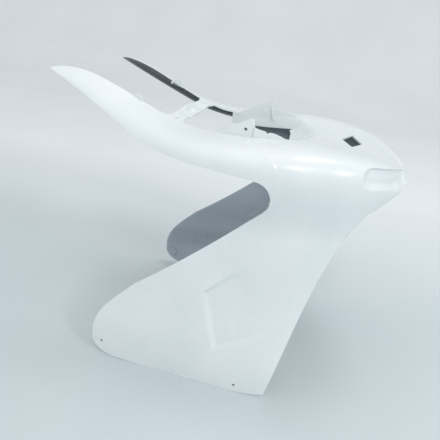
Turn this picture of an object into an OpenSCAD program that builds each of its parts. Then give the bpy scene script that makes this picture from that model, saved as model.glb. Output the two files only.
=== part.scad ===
// Front spoiler of a maxi scooter: one injection-moulded shell.
// The nose points along +X, the shell is the same on both sides of Y = 0, and its bottom edges lie at Z = 0.

/* [Body] */
// Length of a lower wing, from its tail to the foot of its front edge
wing_length = 350; // [320:5:380]
// Reach of the nose in front of the feet
nose_reach = 175; // [160:5:195]
// Reach of the arm tips behind the wing tails
arm_reach = 100; // [80:5:120]
// Width across the feet of the lower wings
wing_span = 400; // [380:4:430]
// Width across the waist, where the sides are narrowest
waist_span = 334; // [320:2:350]
// Width across the shoulders
shoulder_span = 372; // [356:2:392]
// Height of the deck
deck_height = 462; // [450:1:475]
// Thickness of the moulded wall
wall = 3; // [2.5:0.1:4]

/* [Lower wings] */
// Height of the tail's rearmost point
tail_height = 45; // [35:1:55]
// Height at which the sides are narrowest
waist_height = 320; // [305:1:335]
// Distance of the notch's rounded end behind the foot
notch_setback = 42; // [30:1:55]
// Height of the notch's rounded end
notch_height = 381; // [373:1:389]
// Diameter of the screw holes near the bottom edges
wing_hole_d = 6; // [4:0.5:8]

/* [Arms] */
// Height of the arm tips
arm_height = 534; // [520:1:550]
// Width across the outer corners of the arm tips
arm_span = 272; // [256:2:290]
// Width between the rims of the windscreen opening
opening_span = 184; // [174:2:194]

// Length of the bridge between the arms, along the body
bridge_length = 24; // [18:1:30]
// Distance of the bridge's middle in front of the wing tails
bridge_place = 112; // [106:1:118]
// Diameter of the two holes in the bridge
bridge_hole_d = 5; // [3:0.5:7]
// Distance between the two holes in the bridge
bridge_hole_gap = 164; // [140:2:168]

/* [Deck] */
// Depth of the flange that hangs from the rim of the windscreen opening
flange_depth = 24; // [18:1:30]
// Distance of the opening's front corners in front of the wing tails
opening_front = 315; // [305:1:325]
// Forward bow of the opening's front crease at the middle
opening_bow = 34; // [20:1:44]
// Height of the windscreen lugs above the deck
lug_rise = 27; // [20:1:32]
// Distance of the lugs' front edges in front of the wing tails
lug_front = 252; // [244:1:262]
// Diameter of the windscreen screw holes in the lugs
lug_hole_d = 6; // [4:0.5:8]
// Depth by which the deck sinks between the shoulders
deck_dish = 6; // [2:1:8]
// Length of the diamond hole along the body
diamond_length = 37; // [24:1:50]
// Width of the diamond hole across the body
diamond_width = 90; // [60:1:110]
// Distance of the diamond hole's middle in front of the wing tails
diamond_place = 416; // [408:1:424]

/* [Nose] */
// Length of each of the two oval recesses around the nose
oval_length = 128; // [110:2:136]
// Height of the oval recesses
oval_height = 32; // [26:1:36]
// Depth of the oval recesses
oval_depth = 9; // [5:1:11]
// Depth of the pressed panel on each lower wing
panel_depth = 4; // [2:0.5:5]

/* [Hidden] */

foot_x = wing_length;
nose_x = foot_x + nose_reach;
tip_x = -arm_reach;
apex_x = foot_x - notch_setback;
middle_x = (nose_x + tip_x) / 2 - 1;
plan_x = foot_x - 80;
belt_height = deck_height - 42;

// The skin is a grid. Stations run from the tails and arm tips to the nose.
last_i = 52;
notch_i = 22;
arm_i = 12;
flange_i = 13;
ledge_i = 25;
crease_i = 28;
foot_i = 26;
// Rows run from the deck's middle line over the rim and the shoulder down to the bottom edge.
flange_j = 4;
rim_j = 5;
shoulder_j = 19;
wing_j = 20;
last_j = 29;

function lerp(a, b, t) = a + (b - a) * t;
function clamp01(t) = max(0, min(1, t));
function ease(t) = let (c = clamp01(t)) c * c * (3 - 2 * c);
function share(i, a, b) = clamp01((i - a) / (b - a));
function bezier(p, t) =
    let (s = 1 - t)
    p[0] * s * s * s + p[1] * 3 * s * s * t + p[2] * 3 * s * t * t + p[3] * t * t * t;

// Outlines in side view, each a Bezier curve from rear to front
tail_top = [[0, tail_height + 5], [0, tail_height + 55], [40, tail_height + 88], [82, tail_height + 129]];
wing_top = [tail_top[3], [140, tail_height + 172], [apex_x - 98, notch_height - 108],
            [apex_x - 34, notch_height - 45]];
notch_low = [wing_top[3], [apex_x - 12, notch_height - 24], [apex_x, notch_height - 14], [apex_x, notch_height]];
notch_high = [[apex_x - 26, notch_height + 33], [apex_x - 8, notch_height + 30], [apex_x, notch_height + 18],
              [apex_x, notch_height]];
belly = [[82, 444], [140, 423], [apex_x - 98, notch_height + 41], notch_high[0]];
arm_low = [[tip_x, arm_height - 3], [tip_x + 70, arm_height - 36], [30, 468], belly[0]];
tail_low = [[0, tail_height - 5], [0, tail_height - 24], [22, 3], [56, 2]];
front_edge = [[foot_x, 6], [foot_x + 44, 203], [foot_x + 72, 403], [nose_x - 9, 391]];
arm_rim = [[tip_x + 2, arm_height], [tip_x + 72, arm_height + 14], [60, 477], [150, deck_height - 2]];
deck_rim = [arm_rim[3], [205, deck_height - 8], [260, deck_height - 2], [opening_front, deck_height + 2]];
nose_rim = [deck_rim[3], [opening_front + 95, deck_height + 3], [nose_x - 50, deck_height - 8],
            [nose_x - 17, deck_height - 36]];
nose_mid = [notch_low[3], [apex_x + 60, notch_height], [nose_x - 60, notch_height + 20], [nose_x - 1.5, 403]];

// Plan of the nose, from 1 at full width to 0 at the front
function plan(x, front) = let (t = share(x, plan_x, front)) pow(max(0, 1 - pow(t, 2.6)), 1 / 1.9);
// Half width of the sides at a height
function side(z) =
    z < waist_height
    ? lerp(wing_span, waist_span, (1 - cos(180 * z / waist_height)) / 2) / 2
    : lerp(waist_span, shoulder_span, (1 - cos(180 * share(z, waist_height, belt_height))) / 2) / 2;
// Half width of the arm's lower edge and of the rim of the windscreen opening
function arm_side(x) = lerp(arm_span / 2, shoulder_span / 2, ease(share(x, tip_x - 10, 190)));
function rim_side(x) =
    opening_span / 2 + 14 * share(x, 200, -18) * 1.1 + 25 * pow(share(x, -18, tip_x), 2);

// Edges of the skin at each station, as [x, half width, z]
function rim(i) =
    i <= arm_i ? let (p = bezier(arm_rim, i / arm_i)) [p[0], rim_side(p[0]), p[1]]
    : i <= crease_i ? let (p = bezier(deck_rim, pow(share(i, arm_i, crease_i), 0.75))) [p[0], rim_side(p[0]), p[1]]
    : let (p = bezier(nose_rim, sin(90 * share(i, crease_i, last_i))),
           t = share(p[0], opening_front, nose_x - 17))
      [p[0], opening_span / 2 * pow(max(0, 1 - pow(t, 2.4)), 0.5), p[1]];
function shoulder_low(i) =
    i <= 9 ? let (p = bezier(arm_low, i / 9)) [p[0], arm_side(p[0]), p[1]]
    : i <= 18 ? let (p = bezier(belly, share(i, 9, 18))) [p[0], min(arm_side(p[0]), side(p[1])), p[1]]
    : i <= notch_i ? let (p = bezier(notch_high, share(i, 18, notch_i))) [p[0], side(p[1]), p[1]]
    : middle(i);
function middle(i) =
    let (p = bezier(nose_mid, sin(90 * share(i, notch_i, last_i))))
    [p[0], side(p[1]) * plan(p[0], nose_mid[3][0]), p[1]];
function wing_high(i) =
    let (p = i <= 7 ? bezier(tail_top, i / 7)
         : i <= 15 ? bezier(wing_top, share(i, 7, 15))
         : bezier(notch_low, share(i, 15, notch_i)))
    i <= notch_i ? [p[0], side(p[1]), p[1]] : middle(i);
function wing_low(i) =
    i <= 5 ? let (p = bezier(tail_low, i / 5)) [p[0], side(p[1]), p[1]]
    : i <= foot_i ? let (x = lerp(tail_low[3][0], foot_x, share(i, 5, foot_i)))
      [x, side(0), 2 * pow(share(x, 120, 56), 2) + front_edge[0][1] * pow(share(x, foot_x - 90, foot_x), 3)]
    : let (p = bezier(front_edge, 1 - pow(1 - share(i, foot_i, last_i), 1.6)))
      [p[0], side(p[1]) * plan(p[0], front_edge[3][0]), p[1]];

// Deck in front of the windscreen opening, with its sloping ledge, and the flange below the rim
function deck_point(i, j) =
    let (r = rim(i), v = j / rim_j, s = share(i, crease_i, last_i), drop = 1 - ease(share(i, ledge_i, crease_i)),
         bow = (1 - v * v) * pow(1 - s, 2.5) * lerp(opening_bow, opening_bow * 0.45, drop))
    i < crease_i && j == flange_j ? [r[0], r[1] - 3, r[2] - flange_depth * drop]
    : i < crease_i ? let (k = j / flange_j, dish = deck_dish * (1 - k * k) * (1 - drop))
      [r[0] + bow, (r[1] - 3) * k, r[2] - flange_depth * drop - dish]
    : [r[0] + bow - 6 * ease(s) * (1 - v), r[1] * v,
       r[2] - deck_dish * (1 - v * v) * (1 - s * s) + 4 * ease(s) * (1 - v)];

// Shoulder from the rim over its rounded edge, and down the side to the notch or to the middle line
function shoulder_point(i, j) =
    let (a = rim(i), b = shoulder_low(i), t = share(j, rim_j, shoulder_j), arm = 1 - ease(share(i, 4, 16)),
         belt = max(b[2], min(belt_height, a[2] - 16)), w0 = b[1] - a[1], h = a[2] - belt,
         round_len = 0.8 * (max(w0, 8) + h), side_len = belt - b[2], s = t * (round_len + side_len),
         k = min(1, s / round_len), x = lerp(a[0], b[0], lerp(k, t, share(i, notch_i + 2, last_i))),
         edge_y = side_len > 0 ? side(belt) * (b[1] / side(b[2])) : b[1], w = edge_y - a[1],
         p = bezier([[a[1], a[2]], [a[1] + lerp(0.8, 0.45, arm) * w, a[2] + lerp(0.05 * w, -0.42 * h, arm)],
                     [edge_y - lerp(0, 0.22, arm) * w, belt + lerp(0.88, 0.5, arm) * h], [edge_y, belt]], k),
         z = belt - max(0, s - round_len))
    s <= round_len ? [x, p[0], p[1]] : [x, side(z) * (b[1] / side(b[2])), z];

// Side from the notch or the middle line down to the bottom edge
function wing_point(i, j) =
    let (a = wing_high(i), b = wing_low(i), t = share(j, wing_j, last_j), k = 1 + ease(share(i, notch_i + (last_i - notch_i) / 2, last_i)),
         x = lerp(a[0], b[0], pow(t, k)), z = lerp(a[2], b[2], t),
         front = lerp(nose_mid[3][0], front_edge[3][0], pow(t, k)))
    j == wing_j ? a : [x, side(z) * plan(x, front), z];

// Oval recesses, which run around the nose from near its tip and climb a little to the rear
nose_centre_x = nose_x - 95;
oval_turn = 47;
oval_half = oval_length / 2 / 98 * 180 / PI;
function oval_press(p) =
    let (turn = atan2(p[1], p[0] - nose_centre_x), u = (turn - oval_turn) / oval_half,
         w = (p[2] - (deck_height - 39) - 12 * u) / (oval_height / 2),
         depth = oval_depth * ease((1 - sqrt(u * u + w * w)) / 0.6))
    depth * [cos(turn), sin(turn), 0];

function skin_point(i, j) =
    let (p = j < rim_j ? deck_point(i, j) : j <= shoulder_j ? shoulder_point(i, j) : wing_point(i, j))
    j <= rim_j || i == last_i ? p : p - oval_press(p);
skin = [for (i = [0:last_i]) [for (j = [0:last_j]) skin_point(i, j)]];

// Cells of the grid that hold material
function solid_cell(i, j) =
    i < 0 || j < 0 || i >= last_i || j >= last_j || j == shoulder_j ? false
    : j < flange_j ? i >= ledge_i
    : j == flange_j ? i >= flange_i
    : true;
function cell_normal(i, j) =
    let (n = cross(skin[i + 1][j] - skin[i][j + 1], skin[i + 1][j + 1] - skin[i][j])) n / norm(n);
normals = [for (i = [0:last_i - 1]) [for (j = [0:last_j - 1]) solid_cell(i, j) ? cell_normal(i, j) : [0, 0, 0]]];
function normal_at(i, j) =
    let (up = j == wing_j && i >= notch_i ? j - 2 : j - 1,
         down = j == shoulder_j && i >= notch_i ? j + 1 : j,
         near = [for (a = [i - 1, i], b = [up, down]) if (solid_cell(a, b)) normals[a][b]],
         total = len(near) == 0 ? [0, 0, 1] : [for (n = near) 1] * near,
         flat = j == 0 ? [total[0], 0, total[2]] : total,
         tip = skin[i][j] - [nose_x - 40, 0, deck_height - 64],
         n = i == last_i ? tip / norm(tip) : flat / norm(flat),
         miter = len(near) == 0 || i == last_i ? 1 : ([for (m = near) m * n] * [for (m = near) 1]) / len(near))
    n / max(0.6, miter);
lining = [for (i = [0:last_i]) [for (j = [0:last_j]) skin[i][j] - normal_at(i, j) * wall]];

// Corners of the shell: outer skin and lining, each on both sides of the middle plane
function mirrored(p) = [p[0], -p[1], p[2]];
corners = concat([for (row = skin) each row], [for (row = skin) each [for (p = row) mirrored(p)]],
                 [for (row = lining) each row], [for (row = lining) each [for (p = row) mirrored(p)]]);
row_len = last_j + 1;
sheet_len = row_len * (last_i + 1);
function corner(layer, s, i, j) =
    let (shared = j == 0 || i == last_i, b = j == wing_j && i >= notch_i ? shoulder_j : j)
    (layer * 2 + (shared ? 0 : s)) * sheet_len + i * row_len + b;
function quad(s, a, b, c, d) = s == 0 ? [[a, b, c], [a, c, d]] : [[c, b, a], [d, c, a]];
function skin_faces(s, i, j) = concat(
    quad(s, corner(0, s, i, j + 1), corner(0, s, i + 1, j + 1), corner(0, s, i + 1, j), corner(0, s, i, j)),
    quad(s, corner(1, s, i + 1, j), corner(1, s, i + 1, j + 1), corner(1, s, i, j + 1), corner(1, s, i, j)));
// Face that closes the wall between two neighbouring grid points of a free edge
function edge_face(s, i1, j1, i2, j2) =
    quad(s, corner(0, s, i1, j1), corner(1, s, i1, j1), corner(1, s, i2, j2), corner(0, s, i2, j2));
function joined(i, j) = j == shoulder_j - 1 || j == wing_j ? i >= notch_i : false;
function edge_faces(s, i, j) = concat(
    solid_cell(i - 1, j) ? [] : edge_face(s, i, j, i, j + 1),
    solid_cell(i + 1, j) || i + 1 == last_i ? [] : edge_face(s, i + 1, j + 1, i + 1, j),
    solid_cell(i, j - 1) || j == 0 || (j == wing_j && joined(i, j)) ? [] : edge_face(s, i + 1, j, i, j),
    solid_cell(i, j + 1) || (j == shoulder_j - 1 && joined(i, j)) ? [] : edge_face(s, i, j + 1, i + 1, j + 1));
shell_faces = [for (s = [0, 1], i = [0:last_i - 1], j = [0:last_j - 1])
               if (solid_cell(i, j)) each concat(skin_faces(s, i, j), edge_faces(s, i, j))];

module shell() polyhedron(corners, shell_faces, convexity = 8);

// Both sides of what stands on the right side
module both_sides() {
    children();
    mirror([0, 1, 0]) children();
}

// Upright windscreen lug on the rim, with a flange along its front edge
lug_rear = lug_front - 76;
lug_hole = [lug_front - 13, deck_height + 8];
lug_flange = 8;
lug_edge = [[lug_front + 8, deck_height - 9], [lug_front + 4, deck_height + 6], [lug_front, deck_height + lug_rise]];
module upright(outline, thick) translate([0, opening_span / 2 + wall - 0.5, 0]) rotate([90, 0, 0])
    linear_extrude(thick) polygon(outline);
module lug() {
    upright(concat([[lug_rear, deck_height - 9]], lug_edge, [[lug_front - 6, deck_height + lug_rise - 1]]), wall);
    upright(concat(lug_edge, [for (k = [2:-1:0]) lug_edge[k] - [wall, 0]]), lug_flange);
}
module lug_bore() {
    translate([lug_hole[0], 0, lug_hole[1]]) rotate([90, 0, 0])
        cylinder(d = lug_hole_d, h = opening_span + 40, center = true, $fn = 48);
}

// Place on a side view curve that lies at x
function curve_at(p, x, lo = 0, hi = 1, n = 16) =
    let (mid = (lo + hi) / 2) n == 0 ? mid : bezier(p, mid)[0] < x ? curve_at(p, x, mid, hi, n - 1)
    : curve_at(p, x, lo, mid, n - 1);

// Tab that stands on the arm's rim, with a block inside the arm below it
tab_x = foot_x - 308;
tab_z = bezier(arm_rim, curve_at(arm_rim, tab_x))[1];
module tab() {
    translate([0, rim_side(tab_x) + 1, 0]) rotate([90, 0, 0]) linear_extrude(wall)
        polygon([[tab_x - 14, tab_z], [tab_x - 10, tab_z + 3], [tab_x + 5, tab_z + 5], [tab_x + 14, tab_z - 5],
                 [tab_x + 14, tab_z - 10], [tab_x - 14, tab_z - 4]]);
    translate([tab_x, rim_side(tab_x) + 1, tab_z - 8]) rotate([0, 24, 0]) cube([26, 6, 9], center = true);
}

// Bridge between the arms, dished in the middle, with a screw hole near each end
bridge_t = curve_at(arm_rim, bridge_place);
bridge_slope = bezier(arm_rim, bridge_t + 0.05) - bezier(arm_rim, bridge_t - 0.05);
bridge_end = rim_side(bridge_place) + 4;
bridge_dish = 7;
function bridge_side(w) = [[bridge_end, 0], [w + 52, 0], [w + 26, -3], [w + 4, -3], [w, -bridge_dish]];
bridge_top = concat(bridge_side(10), [for (k = [4:-1:0]) let (p = bridge_side(10)[k]) [-p[0], p[1]]]);
module bridge_frame() translate([bridge_place, 0, bezier(arm_rim, bridge_t)[1] - 0.5])
    rotate([0, -atan2(bridge_slope[1], bridge_slope[0]), 0]) children();
module bridge() bridge_frame() translate([-bridge_length / 2, 0, 0]) rotate([90, 0, 90])
    linear_extrude(bridge_length)
        polygon(concat(bridge_top, [for (k = [9:-1:0]) bridge_top[k] - [0, wall]]));
module bridge_bores() bridge_frame()
    for (side = [-1, 1]) translate([0, side * bridge_hole_gap / 2, -15])
        cylinder(d = bridge_hole_d, h = 30, $fn = 40);

// Panel pressed into each lower wing, with an upright rear edge and two edges that climb while it fades out
panel_low = [foot_x - 105, 77];
panel_high = [foot_x - 139, 189];
panel_front_low = panel_low + [94, 57];
panel_front_high = panel_high + [79, 76];
panel_u = 5;
panel_v = 4;
function panel_place(u, v, more) =
    let (rear = lerp(panel_low, panel_high, v), front = lerp(panel_front_low, panel_front_high, v),
         d = (rear - front) / norm(rear - front), up = (panel_high - panel_low) / norm(panel_high - panel_low))
    lerp(front, rear, 1 - u) + d * more * (1 - 2 * u) + up * more * (2 * v - 1);
function wing_skin(p) = side(p[1]) * plan(p[0], lerp(nose_mid[3][0], front_edge[3][0], 0.7));
// Block over the panel's place whose two faces lie at given depths at the rear edge and at the fading front
module panel_block(out_rear, out_front, in_rear, in_front, more) {
    sheets = [for (layer = [0, 1]) for (a = [0:panel_u]) for (b = [0:panel_v])
        let (u = a / panel_u, p = panel_place(u, b / panel_v, more), k = 1 - ease(u),
             depth = layer == 0 ? lerp(out_front, out_rear, k) : lerp(in_front, in_rear, k))
        [p[0], wing_skin(p) - depth, p[1]]];
    row = panel_v + 1;
    layer = row * (panel_u + 1);
    edge = concat([for (b = [0:panel_v]) b], [for (a = [1:panel_u]) a * row + panel_v],
                  [for (b = [panel_v - 1:-1:0]) panel_u * row + b], [for (a = [panel_u - 1:-1:1]) a * row]);
    polyhedron(sheets, concat(
        [for (a = [0:panel_u - 1], b = [0:panel_v - 1]) each let (n = a * row + b)
            [[n, n + row + 1, n + 1], [n, n + row, n + row + 1]]],
        [for (a = [0:panel_u - 1], b = [0:panel_v - 1]) each let (n = layer + a * row + b)
            [[n, n + 1, n + row + 1], [n, n + row + 1, n + row]]],
        [for (k = [0:len(edge) - 1]) each let (m = edge[k], n = edge[(k + 1) % len(edge)])
            [[m, n + layer, m + layer], [m, n, n + layer]]]));
}
module panel_back() panel_block(1.2, 1.2, panel_depth + wall, wall - 0.5, wall);
module panel_press() panel_block(-6, -6, panel_depth, -0.4, 0);

// Flat seats behind the screw holes of the lower wings
wing_holes = [[20, 34], [293, 15]];
seat_d = 16;
module wing_seats() for (h = wing_holes)
    translate([h[0], side(h[1]) - wall - 1.5, h[1]]) rotate([-90, 0, 0]) cylinder(d = seat_d, h = wall + 0.5, $fn = 40);
module wing_bores() for (h = wing_holes)
    translate([h[0], side(h[1]) - 20, h[1]]) rotate([-90, 0, 0]) cylinder(d = wing_hole_d, h = 40, $fn = 48);

// Diamond opening in the deck
module diamond()
    translate([diamond_place, 0, deck_height - 40]) linear_extrude(80)
        polygon([[-diamond_length / 2, 0], [0, -diamond_width / 2], [diamond_length / 2, 0], [0, diamond_width / 2]]);

module front_spoiler() color("whitesmoke") difference() {
    union() {
        shell();
        bridge();
        both_sides() {
            lug();
            tab();
            wing_seats();
            panel_back();
        }
    }
    lug_bore();
    bridge_bores();
    both_sides() {
        wing_bores();
        panel_press();
    }
    diamond();
}

// The origin is the middle of the box around the shell, at the height of the bottom edges
translate([-middle_x, 0, 0]) {
    front_spoiler();
}
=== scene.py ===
import math

import bmesh
import bpy
from mathutils import Matrix, Vector
from mathutils.kdtree import KDTree


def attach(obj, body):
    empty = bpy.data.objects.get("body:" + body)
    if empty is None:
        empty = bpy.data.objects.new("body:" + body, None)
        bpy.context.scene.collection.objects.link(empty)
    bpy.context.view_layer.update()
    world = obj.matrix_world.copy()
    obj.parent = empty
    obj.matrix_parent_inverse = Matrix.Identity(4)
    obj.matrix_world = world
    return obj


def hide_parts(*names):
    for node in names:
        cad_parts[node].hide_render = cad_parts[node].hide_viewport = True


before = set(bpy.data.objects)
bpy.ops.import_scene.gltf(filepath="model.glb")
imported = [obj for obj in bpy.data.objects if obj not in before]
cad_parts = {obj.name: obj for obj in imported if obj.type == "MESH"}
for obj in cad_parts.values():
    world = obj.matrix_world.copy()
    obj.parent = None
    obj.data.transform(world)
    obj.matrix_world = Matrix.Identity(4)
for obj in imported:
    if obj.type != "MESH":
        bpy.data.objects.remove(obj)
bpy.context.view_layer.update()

# The camera stands to the right of the shell and looks down on its right side and its deck,
# with the nose to the right of the picture.
view_from = Vector((0.172506, -0.829099, 0.649214))
view_right = Vector((0.958370, 0.270252, 0.092148))
view_up = Vector((-0.195945, 0.387753, 0.900696))
view_back = view_right.cross(view_up)
camera_data = bpy.data.cameras.new("camera")
camera_data.lens = 36.8
camera_data.sensor_width = 36.0
camera_data.clip_start = 0.01
camera = bpy.data.objects.new("camera", camera_data)
camera.matrix_world = Matrix((view_right, view_up, view_back)).transposed().to_4x4()
camera.matrix_world.translation = view_from
bpy.context.scene.collection.objects.link(camera)
bpy.context.scene.camera = camera

# The shell is one injection moulding in ABS with a wall of 3 mm. Stations lie along it from the tails and
# arm tips to the nose, and rows run from the deck's middle over the shoulder to the bottom edge. Every place
# below is in millimetres from the wing tails, as in the part's own drawing.
tail_to_origin = 211.5
wall = 3.0
foot_x = 350.0
nose_x = 525.0
tip_x = -100.0
apex_x = 308.0
crease_x = 315.0
plan_x = 270.0
deck_z = 462.0
belt_z = 420.0
waist_z = 320.0
notch_z = 381.0
foot_wide, waist_wide, belt_wide = 400.0, 334.0, 372.0
plan_power, plan_root = 2.6, 1.9
tip_half, arm_root_x = 136.0, 190.0
opening_half, rim_spread, tip_spread, splay_x = 92.0, 15.4, 25.0, -18.0
flange_deep, deck_dish, crease_bow, ledge_bow = 24.0, 6.0, 34.0, 15.3
nose_back, nose_lift = 6.0, 4.0
notch_i, arm_i, flange_i, ledge_i, crease_i, foot_i, last_i = 22, 12, 13, 25, 28, 26, 52
tail_low_i, tail_top_i, arm_low_i, wing_top_i, belly_i = 5, 7, 9, 15, 18
even_first_i, even_last_i = 15, 30
flange_j, rim_j, shoulder_j, wing_j, last_j = 4, 5, 15, 16, 25


def lerp(a, b, t):
    return a + (b - a) * t


def share(x, a, b):
    return min(1.0, max(0.0, (x - a) / (b - a)))


def ease(t):
    t = min(1.0, max(0.0, t))
    return t * t * (3 - 2 * t)


def bezier(p, t):
    """Point of the cubic curve with the four corners p at the share t of its way."""
    s = 1 - t
    k = (s * s * s, 3 * s * s * t, 3 * s * t * t, t * t * t)
    return sum(k[n] * p[n][0] for n in range(4)), sum(k[n] * p[n][1] for n in range(4))


tail_top = [(0, 50), (0, 100), (40, 133), (82, 174)]
wing_top = [(82, 174), (140, 217), (apex_x - 98, notch_z - 108), (apex_x - 34, notch_z - 45)]
notch_low = [wing_top[3], (apex_x - 12, notch_z - 24), (apex_x, notch_z - 14), (apex_x, notch_z)]
notch_high = [(apex_x - 26, notch_z + 33), (apex_x - 8, notch_z + 30), (apex_x, notch_z + 18),
              (apex_x, notch_z)]
belly = [(82, 444), (140, 423), (apex_x - 98, notch_z + 41), notch_high[0]]
arm_low = [(tip_x, 531), (tip_x + 70, 498), (30, 468), belly[0]]
tail_low = [(0, 40), (0, 21), (22, 3), (56, 2)]
front_edge = [(foot_x, 6), (foot_x + 44, 203), (foot_x + 72, 403), (nose_x - 9, 391)]
arm_rim = [(tip_x + 2, 534), (tip_x + 72, 548), (60, 477), (150, deck_z - 2)]
deck_rim = [arm_rim[3], (205, deck_z - 8), (260, deck_z - 2), (crease_x, deck_z + 2)]
nose_rim = [deck_rim[3], (410, deck_z + 3), (nose_x - 50, deck_z - 8), (nose_x - 17, deck_z - 36)]
nose_mid = [notch_low[3], (apex_x + 60, notch_z), (nose_x - 60, notch_z + 20), (nose_x - 1.5, 403)]


def plan(x, front):
    """Share of the full half width that is left at x, as the plan closes in towards the front."""
    return max(0.0, 1 - share(x, plan_x, front) ** plan_power) ** (1 / plan_root)


def side(z):
    """Half width of the flank at the height z."""
    if z < waist_z:
        return lerp(foot_wide, waist_wide, (1 - math.cos(math.pi * z / waist_z)) / 2) / 2
    return lerp(waist_wide, belt_wide, (1 - math.cos(math.pi * share(z, waist_z, belt_z))) / 2) / 2


def arm_side(x):
    return lerp(tip_half, belt_wide / 2, ease(share(x, tip_x - 10, arm_root_x)))


def rim_side(x):
    return opening_half + rim_spread * share(x, 200, splay_x) + tip_spread * share(x, splay_x, tip_x) ** 2


def rim(i):
    """Point of the edge between deck and shoulder, which is the rim of the opening too."""
    if i <= arm_i:
        x, z = bezier(arm_rim, i / arm_i)
        return x, rim_side(x), z
    if i <= crease_i:
        x, z = bezier(deck_rim, share(i, arm_i, crease_i) ** 0.75)
        return x, rim_side(x), z
    x, z = bezier(nose_rim, math.sin(math.pi / 2 * share(i, crease_i, last_i)))
    return x, opening_half * max(0.0, 1 - share(x, crease_x, nose_rim[3][0]) ** 2.4) ** 0.5, z


def middle(i):
    """Point of the line around the nose where the shoulder and the wing meet."""
    x, z = bezier(nose_mid, math.sin(math.pi / 2 * share(i, notch_i, last_i)))
    return x, side(z) * plan(x, nose_mid[3][0]), z


def shoulder_low(i):
    """Point of the lower edge of the arm and shoulder."""
    if i <= arm_low_i:
        x, z = bezier(arm_low, i / arm_low_i)
        return x, arm_side(x), z
    if i <= belly_i:
        x, z = bezier(belly, share(i, arm_low_i, belly_i))
        return x, min(arm_side(x), side(z)), z
    if i <= notch_i:
        x, z = bezier(notch_high, share(i, belly_i, notch_i))
        return x, side(z), z
    return middle(i)


def wing_high(i):
    """Point of the upper edge of the lower wing."""
    if i > notch_i:
        return middle(i)
    if i <= tail_top_i:
        x, z = bezier(tail_top, i / tail_top_i)
    elif i <= wing_top_i:
        x, z = bezier(wing_top, share(i, tail_top_i, wing_top_i))
    else:
        x, z = bezier(notch_low, share(i, wing_top_i, notch_i))
    return x, side(z), z


def wing_low(i):
    """Point of the wing's tail, bottom edge and front edge."""
    if i <= tail_low_i:
        x, z = bezier(tail_low, i / tail_low_i)
        return x, side(z), z
    if i <= foot_i:
        x = lerp(tail_low[3][0], foot_x, share(i, tail_low_i, foot_i))
        heel = tail_low[3][1] * share(x, 120, tail_low[3][0]) ** 2
        return x, side(0), heel + front_edge[0][1] * share(x, foot_x - 90, foot_x) ** 3
    x, z = bezier(front_edge, 1 - (1 - share(i, foot_i, last_i)) ** 1.6)
    return x, side(z) * plan(x, front_edge[3][0]), z


def deck_point(i, j):
    """Point of the deck, which sinks over a ledge into the opening and hangs down as a flange beside it."""
    x, y, z = rim(i)
    s = share(i, crease_i, last_i)
    drop = 1 - ease(share(i, ledge_i, crease_i))
    inner = y - wall * min(1, y / 20)
    across = inner * j / flange_j if j <= flange_j else lerp(inner, y, j - flange_j)
    v = across / y if y > 1e-6 else j / rim_j
    bow = (1 - v * v) * (1 - s) ** 2.5 * lerp(crease_bow, ledge_bow, drop)
    dish = deck_dish * (1 - v * v) * (1 - s * s)
    if i < crease_i:
        deep = flange_deep * drop * (1 if j <= flange_j else 1 - (j - flange_j))
        return x + bow, across, z - deep - dish * (1 - drop)
    inward = ease(s) * (1 - v)
    return x + bow - nose_back * inward, y * v, z - dish + nose_lift * inward


def even_x(i):
    """Place along the shell of the shoulder's lower turn, which runs on evenly above the notch."""
    first, last, near = even_first_i, even_last_i, 0.1
    x1, x4 = shoulder_low(first)[0], shoulder_low(last)[0]
    x2 = x1 + (x1 - shoulder_low(first - near)[0]) / near * (last - first) / 3
    x3 = x4 - (shoulder_low(last + near)[0] - x4) / near * (last - first) / 3
    return bezier([(x1, 0), (x2, 0), (x3, 0), (x4, 0)], share(i, first, last))[0]


def shoulder_point(i, j):
    """Point of the shoulder, which rolls from the rim over to the flank and then drops along it."""
    a, b = rim(i), shoulder_low(i)
    t = share(j, rim_j, shoulder_j)
    arm = 1 - ease(share(i, 4, 16))
    belt = max(b[2], min(belt_z, a[2] - 16))
    high = a[2] - belt
    round_len = 0.8 * (max(b[1] - a[1], 8) + high)
    side_len = belt - b[2]
    s = t * (round_len + side_len)
    x = lerp(a[0], b[0], lerp(min(1, s / round_len), t, share(i, notch_i + 2, last_i)))
    if even_first_i < i < even_last_i and side_len > 0:
        x += (even_x(i) - b[0]) * min(1, s / round_len) * (1 - share(s, round_len, round_len + side_len))
    scale = b[1] / side(b[2])
    edge_y = side(belt) * scale if side_len > 0 else b[1]
    w = edge_y - a[1]
    if s > round_len:
        z = belt - (s - round_len)
        return x, side(z) * scale, z
    leaves = (a[1] + lerp(0.8, 0.45, arm) * w, a[2] + lerp(0.05 * w, -0.42 * high, arm))
    arrives = (edge_y - lerp(0, 0.22, arm) * w, belt + lerp(0.88, 0.5, arm) * high)
    y, z = bezier([(a[1], a[2]), leaves, arrives, (edge_y, belt)], min(1, s / round_len))
    return x, y, z


def wing_point(i, j):
    """Point of the flank between the wing's upper and lower edges."""
    a, b = wing_high(i), wing_low(i)
    t = share(j, wing_j, last_j)
    if t == 0:
        return a
    k = 1 + ease(share(i, (notch_i + last_i) / 2, last_i))
    x, z = lerp(a[0], b[0], t ** k), lerp(a[2], b[2], t)
    return x, side(z) * plan(x, lerp(nose_mid[3][0], front_edge[3][0], t ** k)), z


def skin_point(i, j):
    if j < rim_j:
        return deck_point(i, j)
    return shoulder_point(i, j) if j <= shoulder_j else wing_point(i, j)


def steps(first, last, each):
    return [first + n / each for n in range(round((last - first) * each))]


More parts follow.
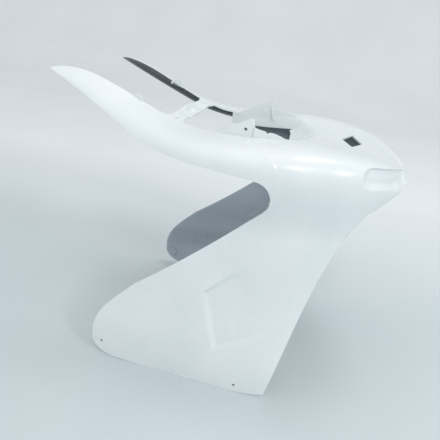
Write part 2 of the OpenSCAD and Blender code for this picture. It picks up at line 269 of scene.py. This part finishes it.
# Stations and rows lie closer together where the skin turns faster.
stations = steps(0, notch_i, 3) + steps(notch_i, 30, 5) + steps(30, 46, 6) + steps(46, last_i, 2) + [last_i]
rows = steps(0, rim_j, 4) + steps(rim_j, shoulder_j, 5) + [shoulder_j] + steps(wing_j, last_j, 5) + [last_j]
grid = [[skin_point(i, j) for j in rows] for i in stations]
apex_a, ledge_a, flange_a, last_a = (stations.index(i) for i in (notch_i, ledge_i, flange_i, last_i))


def holds_material(a, b):
    """Whether the moulding fills the cell after station a and row b. The opening and the notch stay free."""
    if rows[b] < flange_j:
        return a >= ledge_a
    return a >= flange_a if rows[b] < rim_j else rows[b] != shoulder_j


sheet = bmesh.new()
corners = {}


def corner(a, b, turned):
    """The sheet's point at station a and row b, on the left for turned = 1 and on the right for -1."""
    b = rows.index(shoulder_j) if rows[b] == wing_j and a >= apex_a else b
    middle_line = b == 0 or a == last_a
    key = (a, b, 1 if middle_line else turned)
    if key not in corners:
        x, y, z = grid[a][b]
        corners[key] = sheet.verts.new((x, 0 if middle_line else y * turned, z))
    return corners[key]


for turned in (1, -1):
    for a in range(last_a):
        for b in range(len(rows) - 1):
            if holds_material(a, b):
                ring = [corner(a, b, turned), corner(a, b + 1, turned), corner(a + 1, b + 1, turned),
                        corner(a + 1, b, turned)]
                sheet.faces.new(ring[::-turned])


# Holes and pressed edges are cut along straight planes, so that they stay crisp in the curved skin. These are
# the diamond in the deck, the screw holes near the bottom edges, and the edges of the panel in each wing.
def cut_planes(mesh, near, planes):
    for place, normal in planes:
        faces = [f for f in mesh.faces if near(f.calc_center_median())]
        edges = list({e for f in faces for e in f.edges})
        parts = faces + edges + list({v for f in faces for v in f.verts})
        bmesh.ops.bisect_plane(mesh, geom=parts, dist=1e-4, plane_co=place, plane_no=normal)


def cut_hole(mesh, outline, along, near):
    """Cuts a convex outline through the sheet. Its points lie around a line in the direction along."""
    along = Vector(along)
    middle = sum((Vector(p) for p in outline), Vector()) / len(outline)
    planes = []
    for n, p in enumerate(outline):
        step = Vector(outline[n - 1]) - Vector(p)
        normal = step.cross(along).normalized()
        planes.append((Vector(p), normal if normal.dot(middle - Vector(p)) < 0 else -normal))
    cut_planes(mesh, near, planes)
    gone = [f for f in mesh.faces if near(f.calc_center_median())
            and all((f.calc_center_median() - p).dot(n) < 0 for p, n in planes)]
    bmesh.ops.delete(mesh, geom=gone, context="FACES")


def circle(centre, radius, across, up, count=28):
    return [Vector(centre) + radius * (math.cos(t) * Vector(across) + math.sin(t) * Vector(up))
            for t in (2 * math.pi * n / count for n in range(count))]


panel_low, panel_high = Vector((245, 0, 77)), Vector((211, 0, 189))
panel_edges = [(panel_high, panel_low), (panel_low, panel_low + Vector((94, 0, 57))),
               (panel_high + Vector((79, 0, 76)), panel_high)]
panel_depth, panel_ramp, panel_reach = 6.5, 8.0, 110.0


def beside(p, edge):
    """Distance of p from an edge of the panel in side view, towards the panel's inside."""
    d = (edge[1] - edge[0]).normalized()
    return (p.x - edge[0].x) * -d.z + (p.z - edge[0].z) * d.x


def by_panel(p):
    return abs(p.y) > 150 and 195 < p.x < 352 and 60 < p.z < 285 and beside(p, panel_edges[0]) < 130


for edge in panel_edges:
    d = (edge[1] - edge[0]).normalized()
    inward = Vector((-d.z, 0, d.x))
    far_from_edge = (0, panel_ramp / 2, panel_ramp)
    cut_planes(sheet, by_panel, [(edge[0] + inward * far, inward) for far in far_from_edge])

diamond_x, diamond_long, diamond_wide = 416, 37, 90
cut_hole(sheet, [(diamond_x - diamond_long / 2, 0, 0), (diamond_x, -diamond_wide / 2, 0),
                 (diamond_x + diamond_long / 2, 0, 0), (diamond_x, diamond_wide / 2, 0)], (0, 0, 1),
         lambda p: abs(p.x - diamond_x) < 26 and abs(p.y) < 52 and p.z > 435)
wing_holes = [(20, 34), (293, 15)]
wing_hole_r, wing_hole_y = 3, 195
for x, z in wing_holes:
    for turned in (1, -1):
        cut_hole(sheet, circle((x, turned * wing_hole_y, z), wing_hole_r, (1, 0, 0), (0, 0, 1)), (0, 1, 0),
                 lambda p: turned * p.y > 100 and abs(p.x - x) < 7 and abs(p.z - z) < 7)


# Two oval recesses run around the nose, with a soft edge only along their lower front. The panel in each wing
# is steep along its rear edge and runs out towards the front. Both are moulded in, at the wall's thickness.
oval_x, oval_z, oval_reach, oval_turn = 430, 424, 98, math.radians(50)
oval_half_long, oval_half_high, oval_corner, oval_depth = 63, 15.5, 13, 10
oval_fall, oval_steep, oval_soft = 12, 5, 10


def pressed(p):
    """The way by which the skin at p is pressed in."""
    turn = math.atan2(abs(p.y), p.x - oval_x)
    along = (turn - oval_turn) * oval_reach
    high = p.z - oval_z - oval_fall * along / oval_half_long
    past_end = abs(along) - (oval_half_long - oval_corner)
    past_side = abs(high) - (oval_half_high - oval_corner)
    outside = math.hypot(max(past_end, 0), max(past_side, 0)) + min(max(past_end, past_side), 0)
    depth = oval_depth * ease((oval_corner - outside) / (oval_steep if high > 0 or along > 0 else oval_soft))
    if depth > 0:
        return Vector((-math.cos(turn), -math.copysign(math.sin(turn), p.y), 0)) * depth
    if by_panel(p):
        inside = min(beside(p, edge) for edge in panel_edges)
        run_out = ease(beside(p, panel_edges[0]) / panel_reach)
        depth = panel_depth * ease(inside / panel_ramp) * (1 - run_out)
        return Vector((0, -math.copysign(depth, p.y), 0))
    return Vector()


for v in sheet.verts:
    v.co += pressed(v.co)
# Where stations and rows crowd together, the skin is evened out in a few passes.
smoothed = [(3, lambda p: p.x > 440 and p.z > 390), (9, lambda p: p.x > 488 and p.z > 390),
            (6, lambda p: 305 < p.x < 440 and p.z > 436 and abs(p.y) < 84),
            (6, lambda p: 280 < p.x < 345 and 392 < p.z < 440 and abs(p.y) > 150)]
for passes, within in smoothed:
    skin = [v for v in sheet.verts if not v.is_boundary and within(v.co)]
    for _ in range(passes):
        bmesh.ops.smooth_vert(sheet, verts=skin, factor=0.5, use_axis_x=True, use_axis_y=True,
                              use_axis_z=True)


paint_slot, bare_slot = 0, 1
sharp_from = math.radians(38)


def thickened(mesh, thick, name, outer_slot=paint_slot, inner_slot=bare_slot):
    """The solid between a sheet and its lining. The sheet is its outside, and its free edges are closed."""
    mesh.normal_update()
    mesh.verts.index_update()
    outer = [v.co.copy() for v in mesh.verts]
    lining = []
    for v in mesh.verts:
        around = [f.normal for f in v.link_faces if f.calc_area() > 1e-3]
        total = sum(around, Vector())
        n = total.normalized() if total.length > 1e-6 else v.normal
        reach = sum(n.dot(m) for m in around) / max(1, len(around))
        lining.append(v.co - n * thick / max(0.75, reach))
    count = len(outer)
    faces = [[v.index for v in f.verts] for f in mesh.faces]
    slots = [outer_slot] * len(faces) + [inner_slot] * len(faces)
    faces += [[n + count for n in reversed(f)] for f in faces]
    for e in mesh.edges:
        if len(e.link_faces) == 1:
            loop = e.link_loops[0]
            a, b = loop.vert.index, loop.link_loop_next.vert.index
            faces.append([b, a, a + count, b + count])
            slots.append(outer_slot)
    data = bpy.data.meshes.new(name)
    places = [((x - tail_to_origin) / 1000, y / 1000, z / 1000) for x, y, z in outer + lining]
    data.from_pydata(places, [], faces)
    data.polygons.foreach_set("material_index", slots)
    data.polygons.foreach_set("use_smooth", [True] * len(faces))
    data.set_sharp_from_angle(angle=sharp_from)
    piece = bpy.data.objects.new(name, data)
    bpy.context.scene.collection.objects.link(piece)
    return piece


shell = thickened(sheet, wall, "shell")


# The outside is gloss white paint over primer, with the faint ripple of a sprayed coat and a little dust.
# The inside is left as it came from the mould: matt grey plastic, with a mist of white along the edges.
# From 400 to 435 mm high the inside darkens to near-black: painted shade for the arms' inner faces and the
# deck's underside.
def new_material(name):
    material = bpy.data.materials.new(name)
    material.use_nodes = True
    nodes = material.node_tree.nodes
    return material, nodes, material.node_tree.links, nodes["Principled BSDF"]


def noise(nodes, links, scale, detail, stretch=(1, 1, 1)):
    place = nodes.new("ShaderNodeTexCoord")
    spread = nodes.new("ShaderNodeMapping")
    spread.inputs["Scale"].default_value = stretch
    pattern = nodes.new("ShaderNodeTexNoise")
    pattern.inputs["Scale"].default_value = scale
    pattern.inputs["Detail"].default_value = detail
    links.new(place.outputs["Object"], spread.inputs["Vector"])
    links.new(spread.outputs["Vector"], pattern.inputs["Vector"])
    return pattern.outputs["Fac"]


def ramp(nodes, links, source, stops):
    blend = nodes.new("ShaderNodeValToRGB")
    links.new(source, blend.inputs["Fac"])
    for n, (place, colour) in enumerate(stops):
        stop = blend.color_ramp.elements[n] if n < 2 else blend.color_ramp.elements.new(place)
        stop.position = place
        stop.color = (*colour, 1)
    return blend.outputs["Color"]


def bumped(nodes, links, shader, source, depth, strength):
    bump = nodes.new("ShaderNodeBump")
    bump.inputs["Distance"].default_value = depth
    bump.inputs["Strength"].default_value = strength
    links.new(source, bump.inputs["Height"])
    links.new(bump.outputs["Normal"], shader.inputs["Normal"])


def mixed(nodes, links, share_of, first, second):
    blend = nodes.new("ShaderNodeMix")
    blend.data_type = "RGBA"
    links.new(share_of, blend.inputs["Factor"])
    links.new(first, blend.inputs["A"])
    links.new(second, blend.inputs["B"])
    return blend.outputs["Result"]


paint, paint_nodes, paint_links, paint_shader = new_material("white_paint")
clouds = ramp(paint_nodes, paint_links, noise(paint_nodes, paint_links, 7, 3),
              [(0.3, (0.70, 0.745, 0.765)), (0.7, (0.78, 0.82, 0.835))])
specks = ramp(paint_nodes, paint_links, noise(paint_nodes, paint_links, 420, 1),
              [(0.75, (0, 0, 0)), (0.80, (0.35, 0.35, 0.35))])
dust = ramp(paint_nodes, paint_links, noise(paint_nodes, paint_links, 30, 2),
            [(0.0, (0.60, 0.64, 0.66)), (1.0, (0.66, 0.70, 0.72))])
paint_links.new(mixed(paint_nodes, paint_links, specks, clouds, dust), paint_shader.inputs["Base Color"])
gloss = ramp(paint_nodes, paint_links, noise(paint_nodes, paint_links, 16, 4),
             [(0.3, (0.24, 0.24, 0.24)), (0.75, (0.36, 0.36, 0.36))])
paint_links.new(gloss, paint_shader.inputs["Roughness"])
paint_shader.inputs["Coat Weight"].default_value = 0.7
paint_shader.inputs["Coat Roughness"].default_value = 0.09
bumped(paint_nodes, paint_links, paint_shader, noise(paint_nodes, paint_links, 330, 2), depth=0.00006,
       strength=0.5)

bare, bare_nodes, bare_links, bare_shader = new_material("bare_plastic_with_painted_shade")
flow_and_shade = ramp(bare_nodes, bare_links, noise(bare_nodes, bare_links, 9, 3, (0.5, 1, 2.2)),
            [(0.3, (0.36, 0.41, 0.455)), (0.7, (0.45, 0.505, 0.555))])
# Painted shade: a near-black copy of the grey for the lining high up, where the arms and the deck lie in
# shade.
shaded_flow = ramp(bare_nodes, bare_links, noise(bare_nodes, bare_links, 14, 3, (0.5, 1, 2.2)),
                 [(0.3, (0.04, 0.05, 0.06)), (0.7, (0.065, 0.077, 0.092))])
# The painted shade comes in by height, from 400 mm up to 435 mm, and is full above that.
height = bare_nodes.new("ShaderNodeSeparateXYZ")
bare_links.new(bare_nodes.new("ShaderNodeTexCoord").outputs["Object"], height.inputs["Vector"])
upper = ramp(bare_nodes, bare_links, height.outputs["Z"], [(0.40, (0, 0, 0)), (0.435, (1, 1, 1))])
flow_and_shade = mixed(bare_nodes, bare_links, upper, flow_and_shade, shaded_flow)
mist_colour = ramp(bare_nodes, bare_links, noise(bare_nodes, bare_links, 60, 2),
                   [(0.2, (0.42, 0.46, 0.48)), (0.8, (0.60, 0.64, 0.66))])
mist = bare_nodes.new("ShaderNodeAttribute")
mist.attribute_name = "near_edge"
speckle = bare_nodes.new("ShaderNodeMath")
speckle.operation = "MULTIPLY"
bare_links.new(mist.outputs["Fac"], speckle.inputs[0])
bare_links.new(ramp(bare_nodes, bare_links, noise(bare_nodes, bare_links, 900, 2),
                    [(0.4, (0.15, 0.15, 0.15)), (0.65, (0.9, 0.9, 0.9))]), speckle.inputs[1])
bare_links.new(mixed(bare_nodes, bare_links, speckle.outputs["Value"], flow_and_shade, mist_colour),
               bare_shader.inputs["Base Color"])
bare_links.new(ramp(bare_nodes, bare_links, noise(bare_nodes, bare_links, 25, 4),
                    [(0.3, (0.42, 0.42, 0.42)), (0.75, (0.56, 0.56, 0.56))]), bare_shader.inputs["Roughness"])
bumped(bare_nodes, bare_links, bare_shader, noise(bare_nodes, bare_links, 1100, 3), depth=0.00012,
       strength=0.6)


def finished(piece):
    for finish in (paint, bare):
        piece.data.materials.append(finish)
    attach(piece, "root")
    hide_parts("front_spoiler")


def mark_edges(piece, reach):
    """Stores at each point how near it lies to a free edge of the moulding, from 1 at the edge to 0."""
    # Of the faces, only the ones that close a free edge join two points of the sheet to two of its lining.
    points = piece.data.vertices
    half = len(points) // 2
    rim_points = set()
    for polygon in piece.data.polygons:
        inner = [n for n in polygon.vertices if n >= half]
        if len(inner) == 2 and len(polygon.vertices) == 4:
            rim_points.update(inner)
    tree = KDTree(max(1, len(rim_points)))
    for n in rim_points:
        tree.insert(points[n].co, n)
    tree.balance()
    nearness = [1 - ease(tree.find(p.co)[2] * 1000 / reach) for p in points]
    piece.data.attributes.new("near_edge", "FLOAT", "POINT").data.foreach_set("value", nearness)


# The spray reaches round the front edges below the nose, so the lining is white there too.
finished(shell)
mark_edges(shell, reach=9)
spray_x, spray_low, spray_high = 395, 215, 392
for polygon in shell.data.polygons:
    x, y, z = polygon.center * 1000
    if x + tail_to_origin > spray_x and spray_low < z < spray_high:
        polygon.material_index = paint_slot

# A bare strip hangs below each long side of the windscreen opening. It is moulded with the painted flange
# above it and stiffens the deck's edge between the lugs and the ledge. It lies high enough to take the
# lining's painted shade, so it renders near-black, as painted shade for the dark seen through the opening
# below the flange.
strip_rear, strip_front, strip_depth, strip_lap = 188, 296, 20, 2


def along_curve(curve, x):
    """Share of the curve's way at which it reaches x."""
    low, high = 0.0, 1.0
    for _ in range(30):
        t = (low + high) / 2
        low, high = (t, high) if bezier(curve, t)[0] < x else (low, t)
    return t


def sheet_of(place, across, along, turned=1):
    """A sheet through place(a, b) for every a in across and b in along."""
    mesh = bmesh.new()
    lines = [[mesh.verts.new(place(a, b)) for b in along] for a in across]
    for first, second in zip(lines, lines[1:]):
        for n in range(len(along) - 1):
            ring = [first[n], second[n], second[n + 1], first[n + 1]]
            mesh.faces.new(ring[::turned])
    return mesh


def spaced(first, last, count):
    return [first + (last - first) * n / count for n in range(count + 1)]


def strip_point(s, t, turned):
    x = lerp(strip_rear, strip_front, s)
    top = bezier(deck_rim, along_curve(deck_rim, x))[1] - (flange_deep - strip_lap)
    return Vector((x, turned * (rim_side(x) - wall), top - (strip_lap + strip_depth * ease(s * 5)) * t))


for turned, hand in ((1, "left"), (-1, "right")):
    strip_sheet = sheet_of(lambda s, t: strip_point(s, t, turned), spaced(0, 1, 40), spaced(0, 1, 8), turned)
    finished(thickened(strip_sheet, wall, "strip_" + hand, outer_slot=bare_slot))

# The bridge ties the two arms together behind the windscreen opening and is moulded with them. It dips
# between the arms, has a small dished pocket in the middle and a turned-up rear lip, and takes a screw near
# each end.
bridge_x = 112
bridge_t = along_curve(arm_rim, bridge_x)
bridge_place = Vector((bridge_x, 0, bezier(arm_rim, bridge_t)[1] - 0.5))
before_x, before_z = bezier(arm_rim, bridge_t - 0.05)
after_x, after_z = bezier(arm_rim, bridge_t + 0.05)
bridge_fore = Vector((after_x - before_x, 0, after_z - before_z)).normalized()
bridge_up = Vector((-bridge_fore.z, 0, bridge_fore.x))
bridge_end = rim_side(bridge_x) + 2
bridge_hole_y, bridge_hole_r = 82, 2.5
bridge_half, bridge_flare, bridge_dip, bridge_lip = 12, 5, 3, 7
pocket_deep, pocket_r, seat_deep, seat_r = 4.5, 7.5, 0.8, 7


def bridge_point(u, y):
    fore = u * (bridge_half + bridge_flare * ease(share(abs(y), 74, 98)))
    dip = -bridge_dip * ease((62 - abs(y)) / 26)
    lip = bridge_lip * ease(-u * 1.1) * ease(1.15 - abs(y) / 62)
    pocket = pocket_deep * ease(1.5 - math.hypot(fore + 1, y * 0.8) / pocket_r)
    seat = seat_deep * ease((seat_r - math.hypot(fore, abs(y) - bridge_hole_y)) / 2)
    rise = dip + lip - pocket - seat
    return bridge_place + bridge_fore * fore + Vector((0, y, 0)) + bridge_up * rise


bridge_sheet = sheet_of(bridge_point, spaced(-1, 1, 20), spaced(-bridge_end, bridge_end, 160))
for turned in (1, -1):
    middle_of_hole = bridge_place + Vector((0, turned * bridge_hole_y, 0))
    cut_hole(bridge_sheet, circle(middle_of_hole, bridge_hole_r, bridge_fore, (0, 1, 0)), bridge_up,
             lambda p: (p - middle_of_hole).length < 6)
bridge = thickened(bridge_sheet, wall, "bridge")
finished(bridge)
mark_edges(bridge, reach=4)

# Two lugs stand on the rim of the windscreen opening and hold the windscreen's foot. Each is a thin web with
# one screw hole, and rises towards the front, where it rolls over into a narrow flange. A low lip runs on
# from its foot along the rim. All of it is moulded with the rim and painted like it.
lug_rear, lug_front, lug_foot_z, lug_top_z = 176, 252, 453, 489
lug_outside, lug_spread, lug_top_long = 94.5, 8, 6
lug_roll_foot, lug_roll_top = 6.5, 1.5
lug_hole_x, lug_hole_z, lug_hole_r = 239, 470, 3
lip_edge = [(254, 455), (254, 476), (259, 474), (267, 472.5), (273, 471.5), (276, 468.5), (281, 471),
            (290, 470), (300, 467), (310, 463), (318, 458), (318, 455)]


def lug_point(s, t, turned):
    z = lerp(lug_foot_z, lug_top_z, t)
    front = lug_front + lug_spread * (1 - t) ** 1.6
    rear = lerp(lug_rear, lug_front - lug_top_long, t)
    roll = lerp(lug_roll_foot, lug_roll_top, t)
    if s <= 1:
        return Vector((lerp(rear, front - roll, s), turned * lug_outside, z))
    turn = math.pi / 2 * min(1, s - 1)
    flange = max(0, s - 2) * lerp(2, 0.5, t)
    return Vector((front - roll + roll * math.sin(turn),
                   turned * (lug_outside - roll * (1 - math.cos(turn)) - flange), z))


lug_across = spaced(0, 1, 24) + spaced(1, 2, 8)[1:] + [3]
for turned, hand in ((1, "left"), (-1, "right")):
    lug_sheet = sheet_of(lambda s, t: lug_point(s, t, turned), lug_across, spaced(0, 1, 18), -turned)
    lug_hole = (lug_hole_x, turned * lug_outside, lug_hole_z)
    cut_hole(lug_sheet, circle(lug_hole, lug_hole_r, (1, 0, 0), (0, 0, 1)), (0, 1, 0),
             lambda p: (p - Vector(lug_hole)).length < 7)
    finished(thickened(lug_sheet, wall, "lug_" + hand, inner_slot=paint_slot))
    lip_sheet = bmesh.new()
    lip_ring = [lip_sheet.verts.new((x, turned * lug_outside, z)) for x, z in lip_edge]
    lip_sheet.faces.new(lip_ring[::-turned])
    finished(thickened(lip_sheet, wall, "lip_" + hand, inner_slot=paint_slot))

# A flat-topped tab stands on each arm's rim and keeps the windscreen from sliding. A small bare block on the
# arm's inner side backs it. Both are moulded with the arm.
tab_x = 42
tab_z = bezier(arm_rim, along_curve(arm_rim, tab_x))[1]
tab_outside = rim_side(tab_x) + 1
tab_edge = [(-14, 0), (-11, 3), (-2, 4.5), (6, 5), (9, 4), (12, -1), (14, -6), (14, -10), (-14, -4)]
block_size = Vector((26, 6, 9))
block_round, block_lean, block_drop = 1.2, math.radians(24), 8
for turned, hand in ((1, "left"), (-1, "right")):
    tab_sheet = bmesh.new()
    tab_ring = [tab_sheet.verts.new((tab_x + x, turned * tab_outside, tab_z + z)) for x, z in tab_edge]
    tab_sheet.faces.new(tab_ring[::turned])
    finished(thickened(tab_sheet, wall, "tab_" + hand, inner_slot=paint_slot))
    block_mesh = bmesh.new()
    bmesh.ops.create_cube(block_mesh, size=1)
    bmesh.ops.scale(block_mesh, vec=block_size, verts=block_mesh.verts)
    bmesh.ops.bevel(block_mesh, geom=block_mesh.edges[:], offset=block_round, segments=3, affect="EDGES")
    bmesh.ops.rotate(block_mesh, matrix=Matrix.Rotation(block_lean, 3, "Y"), verts=block_mesh.verts)
    block_place = (tab_x, turned * tab_outside, tab_z - block_drop)
    bmesh.ops.translate(block_mesh, vec=block_place, verts=block_mesh.verts)
    bmesh.ops.translate(block_mesh, vec=(-tail_to_origin, 0, 0), verts=block_mesh.verts)
    bmesh.ops.scale(block_mesh, vec=(0.001, 0.001, 0.001), verts=block_mesh.verts)
    block_data = bpy.data.meshes.new("block_" + hand)
    block_mesh.to_mesh(block_data)
    block_data.polygons.foreach_set("material_index", [bare_slot] * len(block_data.polygons))
    block = bpy.data.objects.new("block_" + hand, block_data)
    bpy.context.scene.collection.objects.link(block)
    finished(block)

# Round seats stand behind the screw holes of the wings, and three short ribs stiffen each wing's inside.
# They are bare like the rest of the inside, and are moulded with it.
seat_rings = [(3, 1.0), (3.5, 1.5), (7.2, 1.5), (8, 0.7), (8, -1)]
rib_places = [(82, 70, 114), (113, 76, 122), (144, 94, 127)]
rib_width, rib_rise, rib_sink = 5.0, 1.4, 0.3
seat_thick, rib_thick = 2.2, 2.0


def seat_point(ring, angle, hole, turned):
    radius, proud = seat_rings[ring]
    x, z = hole[0] + radius * math.cos(angle), hole[1] + radius * math.sin(angle)
    return Vector((x, turned * (side(hole[1]) - wall - proud), z))


def rib_point(u, t, rib, turned):
    x, low, high = rib
    z = lerp(low, high, t)
    rise = rib_rise * (1 - u * u) * ease(t * 5) * ease((1 - t) * 5)
    return Vector((x + u * rib_width / 2, turned * (side(z) - wall - rise + rib_sink), z))


for turned, hand in ((1, "left"), (-1, "right")):
    for n, hole in enumerate(wing_holes):
        seat_sheet = sheet_of(lambda ring, angle: seat_point(ring, angle, hole, turned),
                              range(len(seat_rings)), spaced(0, 2 * math.pi, 32), -turned)
        bmesh.ops.remove_doubles(seat_sheet, verts=seat_sheet.verts, dist=1e-4)
        finished(thickened(seat_sheet, seat_thick, f"seat_{hand}_{n}", outer_slot=bare_slot))
    for n, rib in enumerate(rib_places):
        rib_sheet = sheet_of(lambda u, t: rib_point(u, t, rib, turned), spaced(-1, 1, 8), spaced(0, 1, 20),
                             turned)
        finished(thickened(rib_sheet, rib_thick, f"rib_{hand}_{n}", outer_slot=bare_slot))

# The floor is a plain pale sheet that is swept up behind the part. Its colour grows lighter towards the rear.
# It isn't a piece of the part, and only stands in for the studio.
floor_half, floor_front, floor_gap = 8.0, -6.0, 0.0002
sweep_start, sweep_radius, sweep_top = 2.6, 1.6, 5.0
sweep = [(floor_front, 0.0), (sweep_start, 0.0)]
sweep += [(sweep_start + sweep_radius * math.sin(a), sweep_radius * (1 - math.cos(a)))
          for a in spaced(0, math.pi / 2, 24)[1:]]
sweep.append((sweep_start + sweep_radius, sweep_top))
floor_mesh = bpy.data.meshes.new("floor")
floor_mesh.from_pydata([(x, y, z) for y, z in sweep for x in (-floor_half, floor_half)], [],
                       [(2 * n, 2 * n + 1, 2 * n + 3, 2 * n + 2) for n in range(len(sweep) - 1)])
floor_mesh.polygons.foreach_set("use_smooth", [True] * len(floor_mesh.polygons))
floor = bpy.data.objects.new("floor", floor_mesh)
floor.location.z = -floor_gap
bpy.context.scene.collection.objects.link(floor)
pale, pale_nodes, pale_links, pale_shader = new_material("pale_floor")
ground = ramp(pale_nodes, pale_links, noise(pale_nodes, pale_links, 3, 2),
              [(0.3, (0.58, 0.645, 0.67)), (0.7, (0.61, 0.67, 0.69))])
backdrop = ramp(pale_nodes, pale_links, noise(pale_nodes, pale_links, 2, 2),
                [(0.3, (0.85, 0.88, 0.90)), (0.7, (0.89, 0.91, 0.925))])
floor_place = pale_nodes.new("ShaderNodeSeparateXYZ")
pale_links.new(pale_nodes.new("ShaderNodeTexCoord").outputs["Object"], floor_place.inputs["Vector"])
rearward = ramp(pale_nodes, pale_links, floor_place.outputs["Y"], [(0.15, (0, 0, 0)), (1.0, (1, 1, 1))])
pale_links.new(mixed(pale_nodes, pale_links, rearward, ground, backdrop), pale_shader.inputs["Base Color"])
pale_shader.inputs["Roughness"].default_value = 0.7
floor_mesh.materials.append(pale)


# Of three soft lamps, the main one stands to the right of the part, one before its nose, and one hangs above
# it. An even pale sky fills the shadows.
def soft_lamp(name, place, aim, size, power):
    data = bpy.data.lights.new(name, "AREA")
    data.shape = "DISK"
    data.size = size
    data.energy = power
    lamp = bpy.data.objects.new(name, data)
    lamp.location = place
    lamp.rotation_euler = (Vector(aim) - Vector(place)).to_track_quat("-Z", "Y").to_euler()
    bpy.context.scene.collection.objects.link(lamp)


soft_lamp("key_lamp", (0.6, -1.7, 2.1), (0.05, 0, 0.25), size=0.5, power=12)
soft_lamp("front_lamp", (1.7, -1.2, 1.6), (0.05, 0, 0.25), size=0.35, power=9)
soft_lamp("top_lamp", (0.5, 0.4, 2.6), (0.05, 0, 0.3), size=0.7, power=8)
world = bpy.data.worlds.new("studio")
world.use_nodes = True
world.node_tree.nodes["Background"].inputs["Color"].default_value = (0.90, 0.93, 0.945, 1)
world.node_tree.nodes["Background"].inputs["Strength"].default_value = 0.8
bpy.context.scene.world = world
bpy.context.scene.view_settings.view_transform = "Standard"
